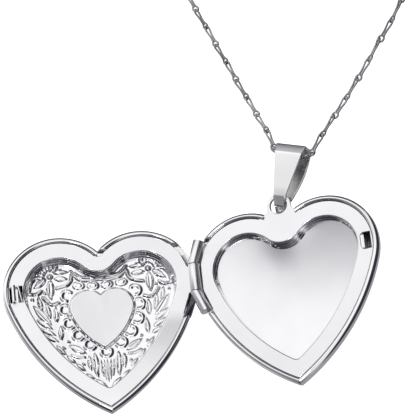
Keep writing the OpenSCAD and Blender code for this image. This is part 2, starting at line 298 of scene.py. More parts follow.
def make_materials():
    """Each steel's darkest and lightest tone, its range of roughness and the scale of its grain."""
    return {
        "polished": metal("polished_steel", (0.80, 0.80, 0.82), (0.88, 0.88, 0.89), (0.05, 0.11), 4000),
        "satin": metal("satin_steel", (0.86, 0.86, 0.88), (0.89, 0.89, 0.90), (0.26, 0.32), 12000,
                       stretch=(1, 6, 6), bump=0.05),
        "stamped": metal("stamped_steel", (0.85, 0.85, 0.87), (0.89, 0.89, 0.90), (0.10, 0.15), 9000),
        "brushed": metal("brushed_steel", (0.86, 0.86, 0.87), (0.90, 0.90, 0.91), (0.26, 0.32), 9000),
        "heart": metal("heart_steel", (0.85, 0.85, 0.86), (0.88, 0.88, 0.89), (0.32, 0.4), 12000),
        "strap": metal("strap_steel", (0.84, 0.83, 0.83), (0.88, 0.87, 0.87), (0.20, 0.26), 12000,
                       stretch=(6, 1, 1), bump=0.05),
        "chain": metal("chain_steel", (0.26, 0.26, 0.28), (0.42, 0.42, 0.44), (0.04, 0.08), 7000),
        "cast": metal("cast_steel", (0.55, 0.55, 0.57), (0.66, 0.66, 0.68), (0.14, 0.20), 6000),
        "spring": metal("spring_steel", (0.55, 0.55, 0.58), (0.66, 0.66, 0.68), (0.15, 0.25), 5000),
    }


# ---------------------------------------------------------------- mesh helpers

def solid(name, verts, faces, material, sharp=35.0):
    """An object from vertices in millimetres: its caps of triangles flat, its skins smooth."""
    mesh = bpy.data.meshes.new(name)
    mesh.from_pydata([tuple(c * MM for c in v) for v in verts], [], faces)
    work = bmesh.new()
    work.from_mesh(mesh)
    bmesh.ops.remove_doubles(work, verts=work.verts, dist=WELD)
    bmesh.ops.recalc_face_normals(work, faces=work.faces)
    work.to_mesh(mesh)
    work.free()
    mesh.shade_smooth()
    mesh.set_sharp_from_angle(angle=math.radians(sharp))
    for face in mesh.polygons:
        face.use_smooth = len(face.vertices) > 3
    mesh.materials.append(material)
    made = bpy.data.objects.new(name, mesh)
    bpy.context.scene.collection.objects.link(made)
    return made


def loft(rings, loop=False, ends=True):
    """Vertices and faces of a skin through closed rings that have the same number of points."""
    count = len(rings[0])
    verts = [tuple(p) for ring in rings for p in ring]
    faces = []
    for i in range(len(rings) if loop else len(rings) - 1):
        a = i * count
        b = (i + 1) % len(rings) * count
        for k in range(count):
            j = (k + 1) % count
            faces.append((a + k, a + j, b + j, b + k))
    if ends and not loop:
        for at in (0, len(rings) - 1):
            middle = len(verts)
            verts.append(tuple(np.mean(np.array(rings[at], float), axis=0)))
            for k in range(count):
                faces.append((middle, at * count + k, at * count + (k + 1) % count))
    return verts, faces


def plate(boundaries):
    """A plate with holes: each boundary is a list of rings, from the top cap to the bottom cap."""
    verts = []
    faces = []
    caps = ([], [])
    for rings in boundaries:
        first = len(verts)
        part, skin = loft(rings, ends=False)
        verts += part
        faces += [tuple(first + k for k in f) for f in skin]
        count = len(rings[0])
        caps[0].append(range(first, first + count))
        caps[1].append(range(first + (len(rings) - 1) * count, first + len(rings) * count))
    for cap in caps:
        index = [k for ring in cap for k in ring]
        flat = [[Vector((verts[k][0], verts[k][1], 0)) for k in ring] for ring in cap]
        faces += [tuple(index[k] for k in tri) for tri in tessellate_polygon(flat)]
    return verts, faces


def join(parts):
    """One mesh from several pairs of vertices and faces."""
    verts = []
    faces = []
    for part_verts, part_faces in parts:
        first = len(verts)
        verts += list(part_verts)
        faces += [tuple(first + k for k in f) for f in part_faces]
    return verts, faces


def at_height(ring, z):
    """A ring of plan points lifted to one height, or each to its own."""
    return np.column_stack([ring, np.full(len(ring), z)])


def unit(vectors):
    """The vectors, each brought to length one."""
    return vectors / np.maximum(np.linalg.norm(vectors, axis=-1, keepdims=True), 1e-9)


def direction(points, closed):
    """The direction of a line, or of a closed loop, at each of its points."""
    if closed:
        return unit(np.roll(points, -1, axis=0) - np.roll(points, 1, axis=0))
    return unit(np.gradient(points, axis=0))


def distances(points):
    """How far along a line each of its points is."""
    return np.r_[0, np.cumsum(np.linalg.norm(np.diff(points, axis=0), axis=1))]


def smooth_line(points, steps):
    """A smooth curve through points, with so many steps between one and the next."""
    points = np.array(points, float)
    n = len(points)
    line = []
    for i in range(n - 1):
        a, b = points[max(i - 1, 0)], points[i]
        c, d = points[i + 1], points[min(i + 2, n - 1)]
        for k in range(steps):
            t = k / steps
            line.append(0.5 * (2 * b + (c - a) * t + (2 * a - 5 * b + 4 * c - d) * t * t
                               + (3 * b - a - 3 * c + d) * t**3))
    line.append(points[-1])
    return np.array(line)


def distance_to_line(points, line):
    """The distance of plan points from a polyline."""
    best = np.full(len(points), 1e9)
    for a, b in zip(line[:-1], line[1:]):
        ab = b - a
        t = np.clip(((points - a) @ ab) / max(ab @ ab, 1e-9), 0, 1)
        best = np.minimum(best, np.linalg.norm(points - a - np.outer(t, ab), axis=1))
    return best


def shifted(ring, out):
    """A ring of plan points moved along its own normals, outwards if out is positive."""
    ring = np.asarray(ring, float)
    along = direction(ring, closed=True)
    normal = np.column_stack([along[:, 1], -along[:, 0]])
    area = np.sum(ring[:, 0] * np.roll(ring[:, 1], -1) - np.roll(ring[:, 0], -1) * ring[:, 1])
    return ring + normal * out * (1 if area > 0 else -1)


def edged(ring, low, high):
    """The rings of a plate's outer boundary from its top to its bottom, with rounded edges."""
    edge = 0.06
    inner = shifted(ring, -edge)
    mid = shifted(ring, -edge * 0.3)
    return [
        at_height(inner, high), at_height(mid, high - edge * 0.3), at_height(ring, high - edge),
        at_height(ring, low + edge), at_height(mid, low + edge * 0.3), at_height(inner, low),
    ]


def quarter(first, last, steps):
    """Angles in radians of a quarter turn, numbered from first to last of its steps."""
    return [math.radians(90 * k / steps) for k in range(first, last + 1)]


def arc(centre, r, start, end, count):
    """Plan points of an arc, angles in degrees, both ends included."""
    a = np.radians(np.linspace(start, end, count))
    return np.column_stack([centre[0] + r * np.cos(a), centre[1] + r * np.sin(a)])


def outline(inset, tip_round=0.3):
    """The heart drawn in by inset, clockwise from the notch, with its tip rounded."""
    inset = max(inset, 0.02)
    to_lobe = math.degrees(math.atan2(-NOTCH_Y, LOBE_X))
    side_a = math.degrees(SIDE_A)
    tip_r = SIDE_R - inset - tip_round
    tip_a = -math.degrees(math.acos(-SIDE_C[0] / tip_r))
    tip_y = SIDE_C[1] + tip_r * math.sin(math.radians(tip_a))
    parts = [
        arc((0, NOTCH_Y), inset, -90, to_lobe, 16),
        arc((LOBE_X, 0), LOBE_R - inset, 180 + to_lobe, side_a, 84),
        arc(SIDE_C, SIDE_R - inset, side_a, tip_a, 92),
        arc((0, tip_y), tip_round, tip_a, -90, 12),
    ]
    half = np.vstack([parts[0]] + [p[1:] for p in parts[1:]])
    other = half[-2:0:-1] * (-1, 1)
    return np.vstack([half, other])


def inset_of(x, y):
    """How far points lie inside the heart's outline; negative outside."""
    x = np.abs(x)
    angle = np.degrees(np.arctan2(y, x - LOBE_X))
    lobe = LOBE_R - np.hypot(x - LOBE_X, y)
    side = SIDE_R - np.hypot(x - SIDE_C[0], y - SIDE_C[1])
    notch = np.hypot(x, y - NOTCH_Y)
    # Beyond these two angles, seen from the lobe's middle, the notch is what is nearest.
    to_notch = 180 + math.degrees(math.atan2(-NOTCH_Y, LOBE_X))
    lobe_end = -160
    depth = np.where((angle < math.degrees(SIDE_A)) & (angle > lobe_end), side, lobe)
    return np.where((angle > to_notch) | (angle < lobe_end), np.minimum(notch, side), depth)


def smoothstep(x):
    """0 below 0, 1 above 1, and a smooth rise between them."""
    x = np.clip(x, 0, 1)
    return x * x * (3 - 2 * x)


# ---------------------------------------------------------------- the halves

def opened(verts):
    """Moves the front half's points from the back half's frame to their own place, open."""
    p = np.array(verts, float)
    x = -p[:, 0] + HINGE_X
    z = p[:, 2] - HINGE_Z
    c, s = math.cos(OPEN_FOLD), math.sin(OPEN_FOLD)
    return np.column_stack([HINGE_X + x * c + z * s, p[:, 1] + LOBE_Y, HINGE_Z - x * s + z * c])


def lifted(verts):
    """Moves the back half's points up to the lobes' line."""
    return np.array(verts, float) + (0, LOBE_Y, 0)


def ear_line(away):
    """The x of the line that runs beside the hinge's ears, at distances along it from its middle."""
    return HINGE_X + EAR_GAP + np.maximum(away - EAR_START, 0) * math.tan(EAR_TILT)


def hinge_ledge(points):
    """Lowers a shell's rim beside the hinge to a ledge, and keeps its wall off the other half."""
    blend = 0.4
    wall_gap = 0.04
    ledge_top = 2.35
    ledge_foot = 1.0
    points = np.array(points, float)
    away = np.abs(points[:, 1])
    beside = smoothstep((HINGE_SPAN + 0.15 - away) / blend) * (points[:, 0] < 0)
    points[:, 0] += beside * np.maximum(HINGE_X + wall_gap - points[:, 0], 0)
    x, y, z = points.T
    # Outwards the ledge falls away: gently above the hinge's middle, steeply below it.
    fall = np.where(y > 0, 0.1, 1.1)
    ledge = np.maximum(ledge_top - np.clip(ear_line(away) - x, 0, 2) * fall, ledge_foot)
    points[:, 2] -= beside * np.where(z > ledge_foot, np.maximum(z - ledge, 0), 0)
    return points


def tab_gap(points):
    """Lowers the back shell's rim where the tab passes through it."""
    half_width = 2.35
    top = 2.42
    points = np.array(points, float)
    x, y, z = points.T
    under_tab = (np.abs(x) < half_width) & (y > 2.5) & (z > top)
    points[:, 2] = np.where(under_tab, top, z)
    return points


def shell_rings(floor_rings, floor_height, back_height, has_tab):
    """Rings of a stamped shell, from the middle of its back round the rim to its inner floor."""
    wall = outline(WINDOW_INSET - 0.15, tip_round=1.0)
    centre = np.array([0.0, -4.0])
    crest = 0.52
    outer_fall = 0.62
    inner_fall = 0.36
    seam = 0.02
    inner_top = 2.3
    inner_r = EDGE_R - SHEET_T
    rings = []
    for t in floor_rings[::2]:
        plan = centre + (wall - centre) * t
        rings.append(at_height(plan, back_height(plan, t)))
    for a in quarter(0, 12, 12):
        rings.append(at_height(outline(EDGE_R * (1 - math.sin(a))), EDGE_R * (1 - math.cos(a))))
    rings.append(at_height(outline(0), HALF_T - outer_fall - seam))
    for a in quarter(1, 8, 8):
        inset = crest * (1 - math.cos(a))
        rings.append(at_height(outline(inset), HALF_T - outer_fall * (1 - math.sin(a))))
    for a in quarter(1, 6, 6):
        inset = crest + (RIM_W - crest) * math.sin(a)
        rings.append(at_height(outline(inset), HALF_T - inner_fall * (1 - math.cos(a))))
    rings.append(at_height(outline(RIM_W), FLANGE_TOP - FLANGE_T))
    rings.append(at_height(outline(SHEET_T + 0.1), inner_top))
    for a in quarter(0, 7, 8)[::-1]:
        inset = SHEET_T + inner_r * (1 - math.sin(a))
        rings.append(at_height(outline(inset), SHEET_T + inner_r * (1 - math.cos(a))))
    for t in floor_rings[::-1]:
        plan = centre + (wall - centre) * t
        rings.append(at_height(plan, floor_height(plan, t)))
    shaped = [hinge_ledge(r) for r in rings]
    return [tab_gap(r) for r in shaped] if has_tab else shaped


# The height of a floor or of a back is a function of plan points and of t, which is 0 in the
# middle and 1 at the wall. The next two don't need t.

def well_height(plan, _):
    """A shallow dish that rises to the wall of the well, most of all under the notch."""
    x, y = plan.T
    dish = 0.75 * ((x + 0.5) ** 2 + (y + 5) ** 2) / 100
    return SHEET_T + dish + 0.45 * np.exp(-(x**2 + (y - 4.0) ** 2) / 9)


def flat_back(plan, _):
    """The flat back that the locket lies on."""
    return np.zeros(len(plan))


def flange_edge(leaf):
    """The plan of a flange's outer edge, cut back beside the ears and leaf off the hinge's axis."""
    ring = outline(FLANGE_INSET, tip_round=0.25)
    x = ring[:, 0]
    away = np.abs(ring[:, 1])
    beside = (away < HINGE_SPAN - 0.3) & (x < 0)
    at_barrel = beside & (away < BARREL_LEN / 2 - 0.1)
    cut = np.where(at_barrel, HINGE_X + leaf, np.maximum(ear_line(away), x))
    ring[:, 0] = np.where(beside, cut, x)
    return ring


def with_tab(ring):
    """Draws a flange's edge out into the tab at the notch, with small fillets."""
    fillet = 0.9
    foot_reach = 3.4
    ring = ring.copy()
    x, y = ring.T
    near = np.where((np.abs(x) < foot_reach) & (y > 3.0))[0]
    right = sorted((k for k in near if x[k] >= 0), key=lambda k: x[k])
    left = sorted((k for k in near if x[k] < 0), key=lambda k: -x[k])
    foot = ring[right[-1]]
    low = foot[1] + 0.35
    path = np.vstack([
        arc((0, LOBE_R), TAB_R, 90, 0, 14),
        (TAB_R, LOBE_R - 0.6),
        (TAB_R, low + fillet),
        arc((TAB_R + fillet, low + fillet), fillet, 180, 255, 8),
        foot,
    ])
    along = distances(path)
    # The ring's points are shared out along each side of the tab; the top one is on the right.
    for sign, side, first in ((1, right, 0), (-1, left, 1)):
        for n, k in enumerate(side):
            s = along[-1] * (n + first) / (len(side) - 1 + first)
            ring[k] = (sign * np.interp(s, along, path[:, 0]), np.interp(s, along, path[:, 1]))
    return ring


def window_rings():
    """The window's edge: a roll, then a wall pressed in steps on its way down to the floor."""
    roll = 0.22
    rings = []
    for a in quarter(0, 5, 5):
        inset = WINDOW_INSET - roll + roll * math.sin(a)
        plan = outline(inset, tip_round=0.9)
        rings.append(at_height(plan, FLANGE_TOP - roll + roll * math.cos(a)))
    edge = outline(WINDOW_INSET, tip_round=0.9)
    inward = shifted(edge, -1) - edge
    # The steps are deep round the lobes and nearly gone at the tip.
    stepped = 0.12 + 0.88 * smoothstep((edge[:, 1] + 4) / 5)
    for inset, z in (
        (0.0, 2.45), (0.16, 2.3), (0.12, 1.95), (0.3, 1.75), (0.26, 1.4), (0.44, 1.2),
        (0.44, 0.5), (-0.3, 0.5), (-0.3, FLANGE_TOP - FLANGE_T),
    ):
        rings.append(at_height(edge + inward * (inset * stepped)[:, None], z))
    return rings


def catch_ring():
    """The catch slot's plan, rounded at its inner corners."""
    x0, x1 = CATCH_X - CATCH_DEPTH, CATCH_X - 0.15
    half = CATCH_W / 2
    r = 0.6
    return np.vstack([
        [(x1, -half), (x1, half)],
        arc((x0 + r, half - r), r, 90, 180, 8),
        arc((x0 + r, -half + r), r, 180, 270, 8),
    ])


def catch_lip(top):
    """The lip that the catch slot's inner edge is bent down to, under a flange with this top."""
    thick = 0.08
    edge_x = CATCH_X - CATCH_DEPTH
    half = CATCH_W / 2 - 0.3
    rings = []
    for out, drop in ((0.06, 0.1), (0.3, 0.14), (0.5, 0.22), (0.62, 0.5)):
        x = edge_x + out
        z = top - drop
        rings.append([(x, -half, z), (x, half, z),
                      (x - thick, half, z - thick), (x - thick, -half, z - thick)])
    return rings


def hole_rings(ring, low, high, edge=0.05):
    """The rings of a hole's edge from the top to the bottom of a plate."""
    outer = shifted(ring, edge)
    return [at_height(outer, high), at_height(ring, high - edge), at_height(ring, low + edge),
            at_height(outer, low)]


def make_back_half(mats):
    """The back shell, and its flange with the window, the catch slot and the drilled tab."""
    # The floor's rings, from the middle to the wall, lie closer where it rises.
    floor = np.concatenate([[0.04, 0.2, 0.4, 0.6, 0.75], np.linspace(0.82, 1.0, 14)])
    rings = shell_rings(floor, well_height, flat_back, has_tab=True)
    verts, faces = loft(rings)
    cover = solid("back_cover", lifted(verts), faces, mats["polished"])
    floor_faces(cover, mats["satin"], opened_out=False)
    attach(cover, "back")
    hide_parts("back_shell")

    low, high = FLANGE_TOP - FLANGE_T, FLANGE_TOP
    edge = with_tab(flange_edge(leaf=1.0))
    hole = arc((0, LOBE_R), TAB_HOLE_R, 0, 360 * 47 / 48, 48)
    sheet = plate([
        edged(edge, low, high),
        window_rings(),
        hole_rings(catch_ring(), low, high),
        hole_rings(hole, low, high, edge=0.12),
    ])
    verts, faces = join([sheet, loft(catch_lip(high))])
    flange = solid("back_flange", lifted(verts), faces, mats["satin"], sharp=30)
    polish_walls(flange, mats["polished"], Vector((0, 0, 1)))
    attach(flange, "back")
    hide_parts("back_frame")


def polish_walls(flange, material, up):
    """Gives the faces of a flange that don't lie flat a polished finish."""
    flat = 0.96
    flange.data.materials.append(material)
    for face in flange.data.polygons:
        face.material_index = 0 if abs(face.normal.dot(up)) > flat else 1


def floor_faces(cover, finish, opened_out, heart_finish=None):
    """Gives the inner floor of a shell its own finish, and its raised heart another."""
    facing_up = 0.3
    well_depth = 1.2
    heart_inset = 0.36
    cover.data.materials.append(finish)
    if heart_finish:
        cover.data.materials.append(heart_finish)
    turn = OPEN_FOLD if opened_out else 0.0
    up = Vector((math.sin(turn), 0, math.cos(turn)))
    for face in cover.data.polygons:
        if face.normal.dot(up) < facing_up:
            continue
        dx, y, dz = face.center / MM - Vector((HINGE_X, LOBE_Y, HINGE_Z))
        if -(dx * up.x + dz * up.z) < well_depth:
            continue
        x = HINGE_X - dx * up.z + dz * up.x
        raised = heart_finish and boss_depth(np.array([[x, y]]))[0] > heart_inset
        face.material_index = 2 if raised else 1


# ---------------------------------------------------------------- the stamped relief

# A shape of the relief is its height as a function of plan points, and the lowest and highest
# corner of the box that it stays in.

def petal(start, end, width, high, vein=0.0):
    """A raised petal or leaf between two points, with a pressed vein along its middle."""
    start, end = np.array(start, float), np.array(end, float)
    length = np.linalg.norm(end - start)
    along = (end - start) / length

    def height(points):
        t = (points - start) @ along / length
        across = (points - start) @ np.array([-along[1], along[0]])
        half = width / 2 * np.sin(np.pi * np.clip(t, 0, 1) ** 0.85)
        depth = np.where((t > 0) & (t < 1), half - np.abs(across), -1)
        pressed = vein * np.exp(-(across / 0.1) ** 2) * (depth > 0.1)
        return high * smoothstep(depth / SLOPE) - pressed

    pad = np.array([width, width]) / 2
    return height, np.minimum(start, end) - pad, np.maximum(start, end) + pad


def dome(centre, across, tall, turn, high):
    """A raised oval with a smaller one on it."""
    a = math.radians(turn)
    c, s = math.cos(a), math.sin(a)
    centre = np.array(centre, float)

    def height(points):
        p = points - centre
        r = np.hypot((p[:, 0] * c + p[:, 1] * s) / across, (p[:, 1] * c - p[:, 0] * s) / tall)
        steps = smoothstep((1 - r) * across / SLOPE) + 0.4 * smoothstep((0.55 - r) * across / 0.2)
        return high * steps

    reach = max(across, tall)
    return height, centre - reach, centre + reach


def ridge(points, wide, high):
    """A raised line through points."""
    line = smooth_line(points, steps=6)

    def height(plan):
        return high * np.exp(-(distance_to_line(plan, line) / wide) ** 2)

    return height, line.min(0) - 3 * wide, line.max(0) + 3 * wide


def crescent(centre, out):
    """A ridge bent round a centre, with its back towards the angle out."""
    return ridge(arc(centre, 0.78, out - 110, out + 110, 12), wide=0.24, high=0.18)


def relief_shapes():
    """The stamped pattern's right side: flower, crescents round the heart, leaves and flutes."""
    # The flower: its eye, four long leaves round it, and its petals.
    flower = np.array([7.35, 3.1])
    shapes = [dome(flower, 0.5, 0.5, turn=0, high=0.24)]
    for start, end, width in (
        ((6.9, 3.65), (4.2, 3.6), 0.75), ((6.9, 2.75), (4.5, 2.5), 0.95),
        ((7.4, 2.7), (7.45, -0.7), 1.25), ((7.9, 2.9), (10.0, 1.3), 1.05),
    ):
        shapes.append(petal(start, end, width, high=0.3, vein=0.08))
    for angle in range(150, -10, -22):
        d = np.array([math.cos(math.radians(angle)), math.sin(math.radians(angle))])
        shapes.append(petal(flower + d * 0.7, flower + d * 2.2, 0.72, high=0.26))
    # Tendrils between the leaves, and the bands and beads under the notch.
    for points in (
        ((4.1, 3.0), (4.4, 2.1), (5.1, 1.5), (6.5, 1.2)), ((6.4, -1.1), (7.5, -1.3), (8.6, -0.1)),
        ((8.8, 3.1), (9.7, 2.9), (10.4, 2.1), (10.6, 1.2)), ((8.8, 0.9), (9.7, 0.45), (10.9, 0.7)),
    ):
        shapes.append(ridge(points, wide=0.2, high=0.28))
    for lift in (0.0, 0.5):
        shapes.append(ridge(((0.1, 2.0 + lift), (1.5, 1.95 + lift), (2.9, 2.2 + lift),
                             (4.1, 3.2 + lift)), wide=0.16, high=0.22))
    for centre, across, tall in (((1.05, 1.15), 0.98, 0.72), ((3.2, 1.35), 1.0, 0.7)):
        shapes.append(dome(centre, across, tall, turn=7, high=0.2))
    # Crescents round the heart, then the leaves down the side, berries and the tip's flutes.
    for centre, out in (
        ((5.1, -0.1), 30), ((5.5, -2.3), 5), ((5.1, -4.5), -20), ((3.9, -6.4), -35),
        ((2.3, -8.0), -45), ((0, -9.3), -90),
    ):
        shapes.append(crescent(centre, out))
    for start, end, width in (
        ((7.7, -4.5), (10.3, -1.0), 1.3), ((7.5, -5.2), (10.1, -3.2), 0.85),
        ((7.1, -6.2), (9.7, -4.7), 0.8), ((6.8, -7.2), (8.9, -6.0), 0.75),
        ((6.9, -4.2), (6.9, -1.4), 0.95), ((7.8, -3.6), (8.3, -0.6), 0.85),
        ((8.9, -2.2), (9.4, 0.4), 0.8), ((6.5, -7.1), (6.3, -4.3), 0.85),
        ((2.9, -9.4), (5.6, -7.7), 1.15), ((5.9, -9.4), (7.4, -7.5), 0.75),
        ((4.6, -10.8), (6.0, -9.2), 0.7), ((3.3, -12.1), (4.7, -10.6), 0.7),
        ((2.6, -9.6), (2.5, -12.3), 0.8), ((1.75, -9.2), (1.6, -13.5), 1.05),
        ((3.3, -12.4), (1.8, -13.6), 0.55), ((2.0, -13.4), (0.1, -15.0), 0.7),
    ):
        shapes.append(petal(start, end, width, high=0.28, vein=0.08))
    shapes.append(ridge(((3.3, -9.9), (4.2, -9.9), (5.1, -9.5)), wide=0.16, high=0.22))
    for spot in ((5.4, -7.3), (6.2, -8.2), (8.3, 0.6), (10.2, -0.3), (3.5, -11.0)):
        shapes.append(dome(spot, 0.3, 0.3, turn=0, high=0.2))
    for k in range(3):
        x = 0.01 + 0.45 * k
        shapes.append(petal((x * 1.1, -10.2), (x * 0.7, -14.4 + 0.35 * k), 0.5, high=0.22))
    return shapes


RELIEF = relief_shapes()


def boss_depth(plan):
    """How far plan points lie inside the raised heart in the middle of the relief."""
    return inset_of(plan[:, 0] / BOSS_SIZE, (plan[:, 1] - BOSS_Y) / BOSS_SIZE) * BOSS_SIZE


def relief_at(plan):
    """The stamped height over the floor at plan points of the front half."""
    depth = boss_depth(plan)
    heart = 0.5 * smoothstep((depth + 0.1) / 0.4)
    side = np.column_stack([np.abs(plan[:, 0]), plan[:, 1]])
    height = np.zeros(len(plan))
    for shape, low, top in RELIEF:
        near = np.all((side > low) & (side < top), axis=1)
        if near.any():
            height[near] = np.maximum(height[near], shape(side[near]))
    return np.where(depth > -0.1, heart, height * smoothstep((-depth - 0.1) / 0.15))


def stamped_floor(plan, t):
    """The relief on a floor that rises to the wall of the well."""
    wall = 0.3 * smoothstep((t - 0.97) / 0.03)
    return SHEET_T + relief_at(plan) + 0.25 * t**2 + wall


def stamped_back(plan, t):
    """The relief seen on the outside, where it is shallower and never stands proud."""
    return 0.6 * relief_at(plan) * (1 - smoothstep((t - 0.9) / 0.1))


def sunk_edge(ring):
    """Lets the flange's edge sink a little below the hinge, where it was pressed down."""
    deepest = 0.22
    ring = ring.copy()
    x, y = ring[:, 0], ring[:, 1]
    sink = smoothstep(-x / 5) * smoothstep((y + 17) / 9) * smoothstep((-4 - y) / 3)
    ring[:, 2] -= deepest * sink
    return ring


def latch_slot():
    """The slot in the front flange that the latch tongue was bent up from."""
    x0, x1 = CATCH_X - 1.95, CATCH_X - 0.02
    half = CATCH_W / 2
    return np.array([(x1, -half), (x1, half), (x0, half), (x0, -half)])


def make_front_half(mats):
    """The front shell with its relief, and its flange with the window and the latch's slot."""
    # The floor's rings are close enough together to carry the relief.
    floor = np.concatenate([[0.05, 0.15, 0.25], np.linspace(0.28, 1.0, 96)])
    rings = shell_rings(floor, stamped_floor, stamped_back, has_tab=False)
    verts, faces = loft(rings)
    cover = solid("front_cover", opened(verts), faces, mats["polished"], sharp=50)
    floor_faces(cover, mats["stamped"], opened_out=True, heart_finish=mats["heart"])
    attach(cover, "front")
    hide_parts("front_shell")

    low, high = FLANGE_TOP - FLANGE_T, FLANGE_TOP
    edge = [sunk_edge(r) for r in edged(flange_edge(leaf=0.75), low, high)]
    verts, faces = plate([edge, window_rings(), hole_rings(latch_slot(), low, high)])
    flange = solid("front_flange", opened(verts), faces, mats["satin"], sharp=30)
    up = Vector((math.sin(OPEN_FOLD), 0, math.cos(OPEN_FOLD)))
    polish_walls(flange, mats["polished"], up)
    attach(flange, "front")
    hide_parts("front_frame")


# ---------------------------------------------------------------- hinge and latch

def tube_along(start, end, r, bore=0.0, sides=40):
    """A short rod or tube with rounded ends between two points."""
    edge = 0.08
    start, end = np.array(start, float), np.array(end, float)
    length = np.linalg.norm(end - start)
    along = (end - start) / length
    across = unit(np.cross(along, (0, 0, 1)))
    up = np.cross(across, along)
    angle = np.linspace(0, 2 * math.pi, sides, endpoint=False)
    circle = np.outer(np.cos(angle), across) + np.outer(np.sin(angle), up)
    profile = [(0, r - edge), (edge * 0.3, r - edge * 0.3), (edge, r), (length - edge, r),
               (length - edge * 0.3, r - edge * 0.3), (length, r - edge)]
    if bore:
        profile += [(length, bore), (0, bore)]
    rings = [start + along * s + circle * q for s, q in profile]
    return loft(rings, loop=bool(bore))


def make_hinge(mats):
    """The barrel, and an ear above and below it that leans away from the axis."""
    half = BARREL_LEN / 2
    bore = 0.39
    spare = 0.3
    barrel = tube_along((HINGE_X, LOBE_Y - half, HINGE_Z), (HINGE_X, LOBE_Y + half, HINGE_Z),
                        BARREL_R, bore)
    piece = solid("hinge_tube", *barrel, mats["brushed"], sharp=40)
    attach(piece, "front")
    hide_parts("hinge_barrel")
    for side, name, node in ((1, "ear_upper", "hinge_ear_top"), (-1, "ear_lower", "hinge_ear_bottom")):
        limit = LOBE_Y + side * EAR_START
        start = np.array([HINGE_X, limit, HINGE_Z])
        lean = np.array([math.sin(EAR_TILT), side * math.cos(EAR_TILT), 0])
        verts, faces = tube_along(start - lean * spare, start + lean * EAR_LEN, BARREL_R)
        verts = np.array(verts)
        # The spare length beside the barrel is cut off square to the axis.
        verts[:, 1] = np.maximum(verts[:, 1], limit) if side > 0 else np.minimum(verts[:, 1], limit)
        piece = solid(name, verts, faces, mats["brushed"], sharp=40)
        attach(piece, "back")
        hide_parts(node)


def make_latch(mats):
    """The latch: a foot under the flange's slot, a folded blade that stands up, and a guide rib."""
    half = CATCH_W / 2 - 0.04
    half_t = 0.08
    blade_x = CATCH_X - 0.62
    floor = FLANGE_TOP - 0.75
    profile = [
        (blade_x - 0.6, 0.0), (blade_x - 0.36, 0.0), (blade_x - 0.24, 0.12), (blade_x - 0.22, 1.3),
        (blade_x - 0.14, 1.46), (blade_x + 0.1, 1.5), (blade_x + 0.2, 1.35), (blade_x + 0.24, 0.15),
    ]
    line = smooth_line(profile, steps=5)
    along = direction(line, closed=False)
    normal = np.column_stack([-along[:, 1], along[:, 0]])
    rings = []
    for p, n in zip(line, normal):
        a, b = p + n * half_t, p - n * half_t
        rings.append([(a[0], -half, a[1] + floor), (a[0], half, a[1] + floor),
                      (b[0], half, b[1] + floor), (b[0], -half, b[1] + floor)])
    rib_r = 0.2
    rib_end = CATCH_W / 2 + 0.05
    rib_z = FLANGE_TOP + 0.02
    rib = tube_along((CATCH_X - 1.3, rib_end, rib_z), (CATCH_X - 1.8, -rib_end, rib_z), rib_r, sides=14)
    verts, faces = join([loft(rings), rib])
    piece = solid("latch_blade", opened(verts), faces, mats["polished"], sharp=40)
    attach(piece, "front")
    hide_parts("latch_tongue")


# ---------------------------------------------------------------- bail

def rounded_loop(corners, grow, radius):
    """A convex loop, drawn counter-clockwise, grown by grow and rounded at its corners."""
    steps = 5
    points = np.array(corners, float)
    before = unit(points - np.roll(points, 1, axis=0))
    after = unit(np.roll(points, -1, axis=0) - points)
    out = np.column_stack([before[:, 1] + after[:, 1], -before[:, 0] - after[:, 0]])
    points = points + grow * out / (1 + np.sum(before * after, axis=1))[:, None]
    line = []
    for p, b, a in zip(points, before, after):
        for k in range(steps + 1):
            t = k / steps
            line.append(p - b * radius * (1 - t) ** 2 + a * radius * t**2)
    return np.array(line)


def bail_path():
    """The strap's middle line from the side: how far up from the tab's hole, how far forward."""
    top = BAIL_LEN
    bend_r = 0.14
    spacing = 0.4
    corners = [
        (-0.35, -0.95), (1.8, -1.6), (top - 0.25, -BAIL_BACK), (top, 0.3 - BAIL_BACK),
        (top - 0.1, BAIL_FRONT - 0.34), (top - 1.2, BAIL_FRONT), (1.4, BAIL_FRONT - 0.35),
        (0.3, -0.15),
    ]
    path = rounded_loop(corners, STRAP_T / 2, bend_r)
    dense = []
    for a, b in zip(path, np.roll(path, -1, axis=0)):
        steps = max(1, int(np.linalg.norm(b - a) / spacing))
        dense += [a + (b - a) * k / steps for k in range(steps)]
    return np.array(dense)


def strap_section(up, forward):
    """The (across, through) points of the strap's section at one place of its middle line."""
    half_t = STRAP_T / 2
    edge = 0.08
    wide = np.interp(up, [-0.4, 0.8, BAIL_LEN + STRAP_T], [0.6, 0.85, BAIL_W / 2])
    # The side behind the chain swells in the middle, and a crease fades out above the hole.
    if forward < -1:
        wide += 0.5 * math.sin(math.pi * min(max((up - 1) / (BAIL_LEN - 1), 0), 1))
    crease = np.interp(up, [0.0, 0.6, 2.4], [0.0, 0.18, 0.0])
    section = [
        (wide - edge, half_t), (wide - edge * 0.3, half_t - edge * 0.3), (wide, half_t - edge),
        (wide, -half_t + edge), (wide - edge * 0.3, -half_t + edge * 0.3), (wide - edge, -half_t),
        (0, -half_t),
    ]
    section += [(-x, t) for x, t in section[-2::-1]] + [(0, half_t)]
    return [(x, t - crease * (1 - abs(x) / wide)) for x, t in section]


